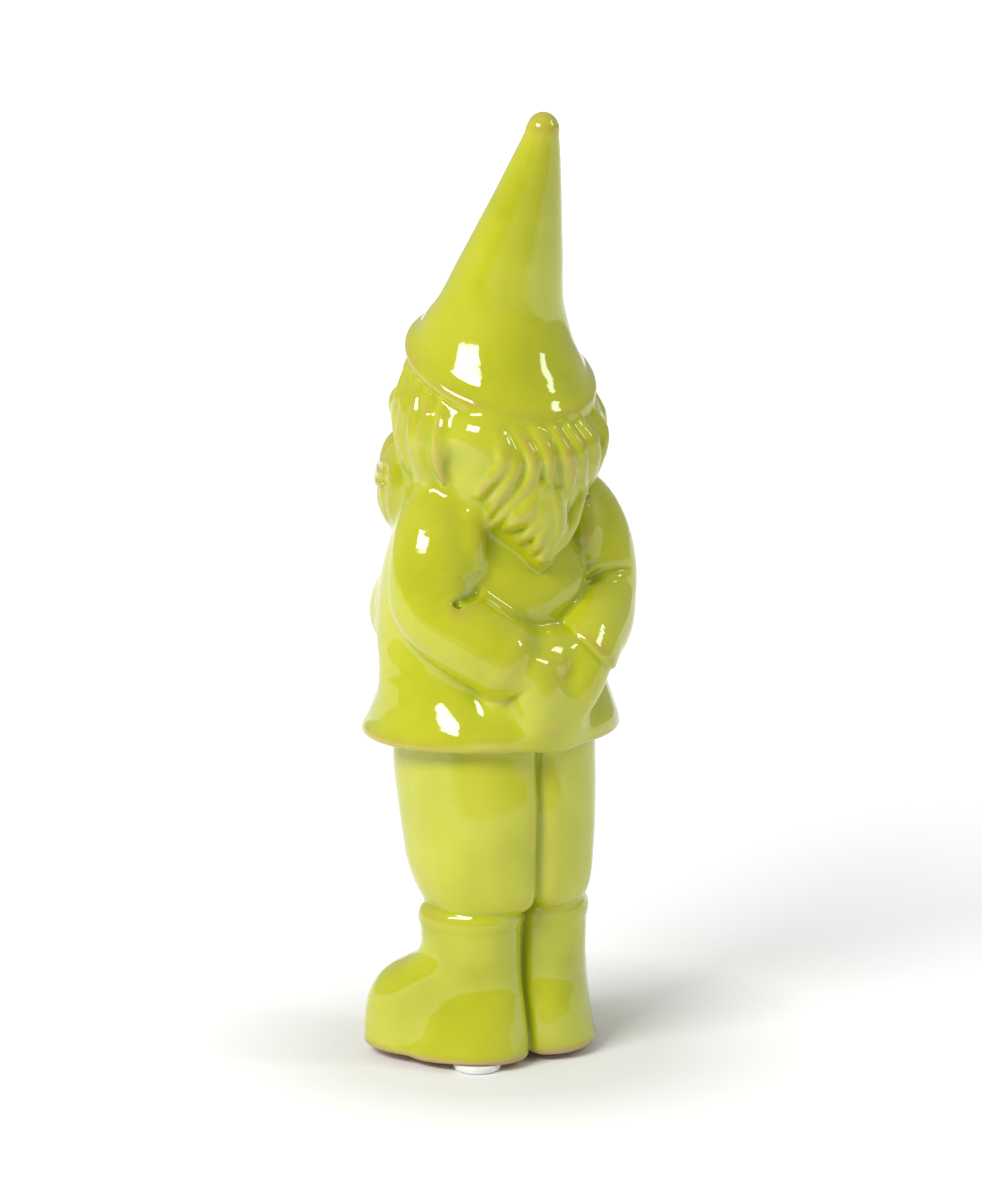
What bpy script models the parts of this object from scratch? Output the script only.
"""A standing garden gnome: a slip-cast, glazed ceramic figure with its hands clasped behind its back.

The gnome faces -Y, +X is its left-hand side and +Z is up. It stands on four round bumpers, whose
undersides are z = 0. The cast sections are hollow and are luted to each other; every luted face has
a gap of JOINT_GAP to its neighbour. All sizes are in millimetres, and MM turns them into metres
where a mesh is made.
"""

import math

import bmesh
import bpy
import numpy as np
from mathutils import Vector

MM = 0.001

# Driving dimensions
TOTAL_HEIGHT = 300.0
BUMPER_HEIGHT = 2.5
BUMPER_RADIUS = 7.4
JOINT_GAP = 0.3
WALL = 4.5
SOLE_Z = BUMPER_HEIGHT + JOINT_GAP
BOOT_TOP_Z = 52.0
WAIST_Z = 121.0
SEAT_Z = 114.0
HEM_Z = 106.0
VENT_RADIUS = 3.0
VENT_X = 20.0
VENT_Y = -10.4
PASSAGE_RADIUS = 4.0
NECK_RADIUS = 9.0
CENTRE_Y = 1.14  # moves the figure so that its bounding box is centred on the origin

# The brim is a plane that falls towards the back of the head.
BRIM_Z = 217.0
BRIM_FALL = 0.44

GLAZE = (0.56, 0.62, 0.045)
GLAZE_ROUGHNESS = 0.08
BUMPER_WHITE = (0.86, 0.86, 0.84)
BUMPER_ROUGHNESS = 0.45

# Each form is a stack of oval levels: height, half width, half depth, and the y of the level's centre.
HAT_LEVELS = [
    (TOTAL_HEIGHT, 1.2, 1.2, 23.9),
    (299.0, 3.4, 3.4, 23.7),
    (296.4, 4.8, 4.8, 23.2),
    (291.0, 6.0, 6.0, 21.8),
    (272.0, 11.1, 11.1, 14.0),
    (256.0, 15.4, 15.4, 6.7),
    (242.0, 19.0, 19.0, 0.6),
    (231.0, 23.4, 23.6, -3.6),
    (220.0, 27.6, 28.0, -4.0),
    (210.0, 29.2, 29.6, -2.4),
    (196.0, 29.2, 29.6, -2.0),
]
COAT_LEVELS = [
    (189.0, 11.0, 10.0, -3.0),
    (186.0, 19.0, 15.0, -3.6),
    (179.0, 27.4, 20.6, -5.0),
    (170.0, 31.4, 24.0, -6.0),
    (160.0, 34.0, 27.0, -7.2),
    (148.0, 35.2, 29.4, -9.0),
    (137.0, 35.6, 31.0, -10.0),
    (128.0, 34.4, 30.0, -7.6),
    (WAIST_Z + JOINT_GAP, 33.4, 28.4, -5.6),
]
SKIRT_LEVELS = [
    (WAIST_Z, 33.6, 28.6, -5.6),
    (118.0, 35.2, 30.0, -6.0),
    (113.6, 39.0, 33.2, -6.2),
    (110.4, 42.0, 35.6, -6.2),
    (108.4, 42.8, 36.2, -6.2),
    (HEM_Z, 41.4, 35.0, -6.2),
]
UNDERSIDE_LEVELS = [
    (111.5, 31.0, 28.6, -4.6),
    (109.5, 35.4, 31.4, -5.6),
    (106.5, 38.4, 32.6, -6.2),
    (104.5, 39.6, 33.4, -6.2),
]
# Both trouser legs together: the middle plane divides them.
TROUSER_LEVELS = [
    (SEAT_Z, 30.4, 27.4, -3.6),
    (108.0, 30.8, 28.2, -3.7),
    (94.0, 31.0, 28.4, -3.7),
    (81.0, 30.2, 27.6, -2.3),
    (65.0, 29.2, 25.4, -0.8),
    (56.0, 27.8, 22.8, 1.4),
    (BOOT_TOP_Z + JOINT_GAP, 26.4, 20.4, 2.2),
]
TROUSER_POWER = 2.3
TROUSER_CAVITY_X = 14.0
TROUSER_CAVITY_HALF_WIDTH = 8.6
# A boot's levels are measured from its ankle's axis.
BOOT_LEVELS = [
    (BOOT_TOP_Z, 15.6, 15.8, 0.0),
    (50.8, 16.6, 16.8, 0.0),
    (48.0, 16.7, 16.9, 0.0),
    (46.0, 16.0, 16.2, 0.0),
    (38.0, 15.8, 16.0, 0.0),
    (31.0, 15.8, 17.0, -0.8),
    (27.0, 15.8, 20.0, -3.8),
    (23.0, 15.8, 23.6, -7.0),
    (17.0, 16.2, 25.8, -8.8),
    (10.0, 17.4, 27.0, -8.6),
    (5.6, 20.6, 28.0, -8.3),
    (SOLE_Z, 20.8, 27.4, -8.3),
]
BOOT_CAVITY_LEVELS = [
    (60.0, 8.0, 10.4, 0.0),
    (38.0, 8.0, 10.4, 0.0),
    (30.0, 8.2, 11.6, -0.8),
    (22.0, 9.2, 16.2, -6.0),
    (14.0, 10.0, 20.4, -8.8),
    (9.0, 10.2, 21.0, -9.2),
]
BOOT_CAVITY_OUT = 2.6
BOOT_SPLAY = math.radians(35.0)
BOOT_POWER = 2.4
BOOT_X = 11.6
ANKLE_Y = 2.3
HAIRLINE_Y = -10.0
HEAD_LEVELS = [
    (240.0, 13.0, 14.0, -2.0),
    (230.0, 20.5, 22.0, -4.0),
    (218.0, 24.0, 27.6, -4.4),
    (204.0, 25.0, 28.6, -4.6),
    (191.0, 22.0, 25.0, -4.6),
    (181.0, 15.0, 17.0, -4.0),
    (176.0, 12.0, 13.0, -4.0),
]
HAIR_LEVELS = [
    (234.0, 26.0, 27.0, -2.0),
    (222.0, 30.0, 30.4, -0.6),
    (209.0, 31.4, 32.0, 0.2),
    (199.0, 32.4, 32.6, 0.4),
    (190.0, 31.0, 31.0, 0.2),
    (181.0, 27.0, 28.4, 0.0),
    (173.0, 20.4, 26.8, 0.2),
    (165.0, 11.0, 27.0, 0.2),
    (158.0, 2.6, 26.6, 0.2),
]
BEARD_LEVELS = [
    (197.0, 21.0, 15.0, -18.0),
    (191.0, 27.4, 20.6, -17.0),
    (184.0, 29.8, 23.4, -16.4),
    (174.0, 28.0, 25.0, -17.0),
    (164.0, 21.0, 23.6, -19.0),
    (155.0, 11.0, 20.6, -22.4),
    (149.0, 3.0, 15.4, -28.0),
]
# A sleeve's centre line and radius: x outwards from the middle of the body, y, z, radius.
SLEEVE_LINE = [
    (22.0, 0.0, 176.5, 11.4),
    (27.2, 3.6, 172.5, 13.0),
    (30.0, 6.4, 161.0, 13.6),
    (30.6, 8.0, 150.0, 13.4),
    (28.4, 11.6, 140.6, 12.8),
    (22.0, 18.6, 135.4, 11.8),
    (15.4, 24.4, 131.2, 10.8),
    (12.8, 26.6, 129.6, 10.2),
]
# The left hand lies over the right one, on the back of the skirt.
LEFT_HAND_LINE = [
    (12.8, 26.4, 129.6, 7.4),
    (8.0, 30.4, 128.0, 7.4),
    (4.6, 33.6, 122.4, 7.6),
    (4.0, 34.4, 116.0, 7.2),
    (3.4, 34.4, 110.6, 6.0),
    (3.0, 34.2, 107.4, 3.4),
]
RIGHT_HAND_LINE = [
    (14.0, 26.0, 129.4, 7.4),
    (10.0, 29.6, 126.6, 7.4),
    (6.2, 32.0, 121.0, 7.2),
    (3.8, 32.6, 114.6, 6.8),
    (2.6, 32.2, 109.6, 5.4),
    (2.2, 31.8, 107.0, 3.0),
]
MOUSTACHE_LINE = [
    (1.0, -38.4, 192.8, 3.4),
    (9.0, -38.0, 191.4, 5.2),
    (17.0, -35.0, 188.2, 5.4),
    (24.6, -29.4, 184.4, 4.4),
    (29.6, -22.6, 181.6, 1.8),
]
NOSE_CENTRE = (0.0, -35.6, 200.4)
NOSE_RADII = (6.6, 8.2, 6.4)
BUMPER_SPOTS = {
    "bumper_left_heel": (18.2, 14.5),
    "bumper_left_toe": (24.0, -20.6),
    "bumper_right_heel": (-16.0, -2.4),
    "bumper_right_toe": (-24.0, -20.6),
}


def clear_scene():
    for obj in list(bpy.data.objects):
        bpy.data.objects.remove(obj)


def new_collection(name):
    collection = bpy.data.collections.new(name)
    bpy.context.scene.collection.children.link(collection)
    return collection


def make_material(name, colour, roughness):
    material = bpy.data.materials.new(name)
    material.use_nodes = True
    shader = material.node_tree.nodes["Principled BSDF"]
    shader.inputs["Base Color"].default_value = (*colour, 1.0)
    shader.inputs["Roughness"].default_value = roughness
    shader.inputs["Metallic"].default_value = 0.0
    return material


def smooth_rows(rows, count):
    """count rows on a smooth curve through the given rows, with the first and last kept."""
    rows = np.array(rows, float)
    padded = np.vstack([2 * rows[0] - rows[1], rows, 2 * rows[-1] - rows[-2]])
    found = []
    for t in np.linspace(0, len(rows) - 1, count):
        i = min(int(t), len(rows) - 2)
        f = t - i
        a, b, c, d = padded[i : i + 4]
        found.append(
            b + 0.5 * f * (c - a + f * (2 * a - 5 * b + 4 * c - d + f * (3 * (b - c) + d - a)))
        )
    return np.array(found)


class Workshop:
    """Makes forms, cuts them and files each object as a part or as a cutter."""

    def __init__(self, parts, cutters, origin):
        self.parts = parts
        self.cutters = cutters
        self.origin = origin

    def place(self, obj, is_part):
        (self.parts if is_part else self.cutters).objects.link(obj)
        obj.parent = self.origin
        if not is_part:
            obj.hide_render = True
            obj.display_type = "WIRE"
        return obj

    def column(self, name, levels, x=0.0, grow=0.0, rows=12, steps=28, power=2.0, is_part=False):
        """A stack of oval levels: a turned profile of unit radius, given each level's size and place."""
        table = smooth_rows(levels, rows)
        profile = bpy.data.meshes.new(name)
        points = [(0, 0, 0)] + [(1, 0, -i) for i in range(rows)] + [(0, 0, 1 - rows)]
        profile.from_pydata(points, [(i, i + 1) for i in range(len(points) - 1)], [])
        turned = bpy.data.objects.new(name, profile)
        bpy.context.scene.collection.objects.link(turned)
        screw = turned.modifiers.new("turn", "SCREW")
        screw.steps = screw.render_steps = steps
        screw.use_merge_vertices = True
        screw.merge_threshold = 0.00001
        screw.use_smooth_shade = True
        bpy.context.view_layer.update()
        graph = bpy.context.evaluated_depsgraph_get()
        mesh = bpy.data.meshes.new_from_object(turned.evaluated_get(graph))
        bpy.data.objects.remove(turned)
        ends = [grow] + [0.0] * (rows - 2) + [-grow]
        for vertex in mesh.vertices:
            row = round(-vertex.co.z)
            z, half_width, half_depth, y = table[row]
            across, along = vertex.co.x, vertex.co.y
            if math.hypot(across, along) > 0.5:
                bulge = (abs(across) ** power + abs(along) ** power) ** (-1 / power)
                across, along = across * bulge, along * bulge
            vertex.co = Vector(
                (x + (half_width + grow) * across, y + (half_depth + grow) * along, z + ends[row])
            ) * MM
        mesh.update()
        obj = bpy.data.objects.new(name, mesh)
        return self.place(obj, is_part)

    def tube(self, name, line, side=1, grow=0.0, points=9, resolution=4, is_part=False):
        """A tube along a line of x, y, z and radius rows; side -1 mirrors it to the right-hand side."""
        curve = bpy.data.curves.new(name, "CURVE")
        curve.dimensions = "3D"
        curve.bevel_depth = MM
        curve.bevel_resolution = resolution
        curve.use_fill_caps = True
        spline = curve.splines.new("POLY")
        table = smooth_rows(line, points)
        spline.points.add(len(table) - 1)
        for point, (x, y, z, radius) in zip(spline.points, table):
            point.co = (side * x * MM, y * MM, z * MM, 1.0)
            point.radius = radius + grow
        source = bpy.data.objects.new(name, curve)
        bpy.context.scene.collection.objects.link(source)
        bpy.context.view_layer.update()
        graph = bpy.context.evaluated_depsgraph_get()
        mesh = bpy.data.meshes.new_from_object(source.evaluated_get(graph))
        bpy.data.objects.remove(source)
        form = bmesh.new()
        form.from_mesh(mesh)
        bmesh.ops.remove_doubles(form, verts=form.verts, dist=0.01 * MM)
        bmesh.ops.recalc_face_normals(form, faces=form.faces)
        form.to_mesh(mesh)
        form.free()
        return self.place(bpy.data.objects.new(name, mesh), is_part)

    def ball(self, name, centre, radii, grow=0.0):
        """An ellipsoid cutter."""
        form = bmesh.new()
        bmesh.ops.create_uvsphere(form, u_segments=16, v_segments=10, radius=1.0)
        for vertex in form.verts:
            vertex.co = Vector([c * (r + grow) for c, r in zip(vertex.co, radii)])
        mesh = bpy.data.meshes.new(name)
        form.to_mesh(mesh)
        form.free()
        for vertex in mesh.vertices:
            vertex.co = (vertex.co + Vector(centre)) * MM
        return self.place(bpy.data.objects.new(name, mesh), False)

    def block(self, name, low, high):
        """A box cutter between two corners."""
        form = bmesh.new()
        bmesh.ops.create_cube(form, size=1.0)
        low, high = Vector(low), Vector(high)
        for vertex in form.verts:
            share = vertex.co + Vector((0.5, 0.5, 0.5))
            vertex.co = Vector([a + s * (b - a) for a, b, s in zip(low, high, share)]) * MM
        mesh = bpy.data.meshes.new(name)
        form.to_mesh(mesh)
        form.free()
        return self.place(bpy.data.objects.new(name, mesh), False)

    def rod(self, name, start, end, radius, segments=16):
        """A round cutter between two points."""
        start, end = Vector(start), Vector(end)
        form = bmesh.new()
        bmesh.ops.create_cone(
            form,
            cap_ends=True,
            segments=segments,
            radius1=radius * MM,
            radius2=radius * MM,
            depth=(end - start).length * MM,
        )
        mesh = bpy.data.meshes.new(name)
        form.to_mesh(mesh)
        form.free()
        obj = bpy.data.objects.new(name, mesh)
        obj.location = (start + end) / 2 * MM
        obj.rotation_mode = "QUATERNION"
        obj.rotation_quaternion = (end - start).to_track_quat("Z", "Y")
        return self.place(obj, False)


def combine(obj, other, operation="DIFFERENCE"):
    modifier = obj.modifiers.new(f"{operation.lower()}_{other.name}", "BOOLEAN")
    modifier.operation = operation
    modifier.object = other
    modifier.solver = "EXACT"
    return obj


def brim_z(y):
    return BRIM_Z - BRIM_FALL * y


def brim_block(shop, name, offset, above):
    """Everything above (or below) the brim's plane, moved up by offset."""
    reach = 60.0
    block = shop.block(name, (-reach, -reach, -reach), (reach, reach, reach))
    for vertex in block.data.vertices:
        level = brim_z(vertex.co.y / MM) + offset
        is_cut_side = (vertex.co.z < 0) == above
        vertex.co.z = level * MM if is_cut_side else (level + (200 if above else -200)) * MM
    return block


def make_boot(shop, side, name):
    """The boot stands on its ankle's axis and is turned outwards about it."""
    boot = shop.column(name, BOOT_LEVELS, rows=18, steps=26, power=BOOT_POWER, is_part=True)
    cavity_x = side * BOOT_CAVITY_OUT
    cavity = shop.column(f"{name}_cavity", BOOT_CAVITY_LEVELS, x=cavity_x, rows=7, steps=16)
    vent_x = side * VENT_X
    vent = shop.rod(f"{name}_vent", (vent_x, VENT_Y, -5), (vent_x, VENT_Y, 15), VENT_RADIUS)
    for obj in (boot, cavity):
        obj.location = Vector((side * BOOT_X, ANKLE_Y, 0)) * MM
        obj.rotation_euler.z = side * BOOT_SPLAY
    combine(boot, middle_block(shop, f"{name}_middle", side))
    combine(boot, cavity)
    combine(boot, vent)
    return boot


def middle_block(shop, name, side):
    """The far side of the middle plane, so that a left piece stops just short of its right-hand twin."""
    near = side * JOINT_GAP / 2
    far = -side * 60.0
    return shop.block(name, (min(near, far), -70, -20), (max(near, far), 70, 180))


def make_trouser(shop, side, name):
    leg = shop.column(name, TROUSER_LEVELS, rows=9, steps=36, power=TROUSER_POWER, is_part=True)
    inner = [(z, TROUSER_CAVITY_HALF_WIDTH, d - 2 * WALL, y) for z, w, d, y in TROUSER_LEVELS]
    inner[0] = (SEAT_Z + 10, *inner[0][1:])
    inner[-1] = (BOOT_TOP_Z - 10, *inner[-1][1:])
    combine(leg, middle_block(shop, f"{name}_middle", side))
    combine(leg, shop.column(f"{name}_cavity", inner, x=side * TROUSER_CAVITY_X, rows=6, steps=16))
    return leg


def make_skirt(shop):
    skirt = shop.column("coat_skirt", SKIRT_LEVELS, rows=9, steps=36, is_part=True)
    combine(skirt, shop.column("skirt_underside", UNDERSIDE_LEVELS, rows=5, steps=36))
    seat = TROUSER_LEVELS[:3]
    seat_room = shop.column("skirt_seat_room", seat, grow=JOINT_GAP, rows=3, steps=36, power=TROUSER_POWER)
    combine(skirt, seat_room)
    waist = [(WAIST_Z + 10, 24.0, 20.0, -4.0), (SEAT_Z - 10, 24.0, 20.0, -4.0)]
    combine(skirt, shop.column("skirt_waist_opening", waist, rows=2, steps=24))
    return skirt


def make_coat(shop):
    coat = shop.column("coat_body", COAT_LEVELS, rows=11, steps=32, is_part=True)
    inner = [(z - WALL, w - WALL, d - WALL, y) for z, w, d, y in COAT_LEVELS[1:-1]]
    inner.append((WAIST_Z - 10, 27.0, 23.0, -4.0))
    combine(coat, shop.column("coat_cavity", inner, rows=7, steps=18))
    combine(coat, shop.rod("neck_opening", (0, -4, 170), (0, -4, 200), NECK_RADIUS))
    return coat


def sleeve_passage(shop, side, name):
    """The way that slip drains between the sleeve's hollow and the body's."""
    return shop.rod(name, (side * 16, 2, 162), (side * 31, 7, 162), PASSAGE_RADIUS, segments=12)


def coat_room(shop, name):
    """The coat's own form, grown by the gap, to cut a neighbour with."""
    return shop.column(f"{name}_coat_room", COAT_LEVELS, grow=JOINT_GAP, rows=11, steps=32)


def skirt_room(shop, name):
    return shop.column(f"{name}_skirt_room", SKIRT_LEVELS, grow=JOINT_GAP, rows=9, steps=36)


def sleeve_room(shop, name, side):
    return shop.tube(name, SLEEVE_LINE, side=side, grow=JOINT_GAP, points=12, resolution=5)


def make_sleeve(shop, side, name):
    sleeve = shop.tube(name, SLEEVE_LINE, side=side, points=12, resolution=5, is_part=True)
    hollow_line = [(x, y, z, radius - WALL) for x, y, z, radius in SLEEVE_LINE[1:-1]]
    combine(sleeve, shop.tube(f"{name}_cavity", hollow_line, side=side, points=8, resolution=2))
    combine(sleeve, coat_room(shop, name))
    combine(sleeve, skirt_room(shop, name))
    combine(sleeve, sleeve_passage(shop, side, f"{name}_passage"))
    return sleeve


def fit_hand(shop, hand, side):
    """Cuts the hand back to its cuff, the coat and the skirt."""
    combine(hand, sleeve_room(shop, f"{hand.name}_cuff", side))
    combine(hand, coat_room(shop, hand.name))
    combine(hand, skirt_room(shop, hand.name))


def make_left_hand(shop):
    hand = shop.tube("left_hand", LEFT_HAND_LINE, points=12, is_part=True)
    fit_hand(shop, hand, 1)
    return hand


def make_right_hand(shop):
    hand = shop.tube("right_hand", RIGHT_HAND_LINE, side=-1, points=12, is_part=True)
    fit_hand(shop, hand, -1)
    combine(hand, shop.tube("right_hand_cover", LEFT_HAND_LINE, grow=JOINT_GAP, points=12))
    return hand


def make_head(shop):
    head = shop.column("head", HEAD_LEVELS, rows=10, steps=26, is_part=True)
    combine(head, shop.ball("nose_form", NOSE_CENTRE, NOSE_RADII), "UNION")
    inner = [(z, w - WALL, d - WALL, y) for z, w, d, y in HEAD_LEVELS]
    inner[0] = (252.0, 9.0, 10.0, -2.0)
    inner[-1] = (165.0, *inner[-1][1:])
    combine(head, shop.column("head_cavity", inner, rows=6, steps=16))
    combine(head, coat_room(shop, "head"))
    combine(head, brim_block(shop, "head_top", -JOINT_GAP / 2, True))
    return head


def make_hair(shop):
    hair = shop.column("hair", HAIR_LEVELS, rows=13, steps=32, is_part=True)
    combine(hair, shop.column("hair_head_room", HEAD_LEVELS, grow=JOINT_GAP, rows=10, steps=26))
    combine(hair, coat_room(shop, "hair"))
    for side, word in ((1, "left"), (-1, "right")):
        combine(hair, sleeve_room(shop, f"hair_{word}_sleeve_room", side))
    combine(hair, shop.block("face_window", (-60, -80, 130), (60, HAIRLINE_Y, 250)))
    combine(hair, brim_block(shop, "hair_top", -JOINT_GAP / 2, True))
    return hair


def make_beard(shop):
    beard = shop.column("beard", BEARD_LEVELS, rows=11, steps=26, is_part=True)
    combine(beard, shop.column("beard_head_room", HEAD_LEVELS, grow=JOINT_GAP, rows=10, steps=26))
    combine(beard, coat_room(shop, "beard"))
    for side, word in ((1, "left"), (-1, "right")):
        combine(beard, sleeve_room(shop, f"beard_{word}_sleeve_room", side))
        combine(beard, shop.tube(f"beard_{word}_moustache", MOUSTACHE_LINE, side=side), "UNION")
    combine(beard, shop.block("beard_back", (-60, HAIRLINE_Y - JOINT_GAP, 130), (60, 60, 250)))
    combine(beard, shop.ball("beard_nose_room", NOSE_CENTRE, NOSE_RADII, grow=JOINT_GAP))
    return beard


def make_hat(shop):
    hat = shop.column("hat", HAT_LEVELS, rows=16, steps=30, is_part=True)
    inner = [(z - 2 * WALL, w - WALL, d - WALL, y) for z, w, d, y in HAT_LEVELS[4:-1]]
    inner.append((188.0, 22.0, 23.0, -2.0))
    combine(hat, shop.column("hat_cavity", inner, rows=6, steps=16))
    combine(hat, brim_block(shop, "hat_bottom", JOINT_GAP / 2, False))
    return hat


def make_bumper(shop, name, spot):
    """A round pad whose lower edge is rounded; its underside is flat."""
    levels = [
        (BUMPER_HEIGHT, BUMPER_RADIUS, BUMPER_RADIUS, spot[1]),
        (1.0, BUMPER_RADIUS, BUMPER_RADIUS, spot[1]),
        (0.3, BUMPER_RADIUS - 0.4, BUMPER_RADIUS - 0.4, spot[1]),
        (0.0, BUMPER_RADIUS - 1.1, BUMPER_RADIUS - 1.1, spot[1]),
    ]
    return shop.column(name, levels, x=spot[0], rows=4, steps=24, is_part=True)


def main():
    clear_scene()
    parts = new_collection("garden_gnome")
    cutters = new_collection("cutters")
    origin = bpy.data.objects.new("gnome_origin", None)
    parts.objects.link(origin)
    origin.location = (0, CENTRE_Y * MM, 0)
    shop = Workshop(parts, cutters, origin)
    glazed = [make_hat(shop), make_head(shop), make_hair(shop), make_beard(shop)]
    glazed += [make_coat(shop), make_skirt(shop), make_left_hand(shop), make_right_hand(shop)]
    for side, word in ((1, "left"), (-1, "right")):
        glazed.append(make_sleeve(shop, side, f"{word}_sleeve"))
        glazed.append(make_trouser(shop, side, f"{word}_trouser"))
        glazed.append(make_boot(shop, side, f"{word}_boot"))
        combine(bpy.data.objects["coat_body"], sleeve_passage(shop, side, f"coat_{word}_passage"))
    for obj in glazed:
        obj.data.materials.append(make_material(f"{obj.name}_glaze", GLAZE, GLAZE_ROUGHNESS))
    for name, spot in BUMPER_SPOTS.items():
        bumper = make_bumper(shop, name, spot)
        bumper.data.materials.append(make_material(f"{name}_rubber", BUMPER_WHITE, BUMPER_ROUGHNESS))


main()
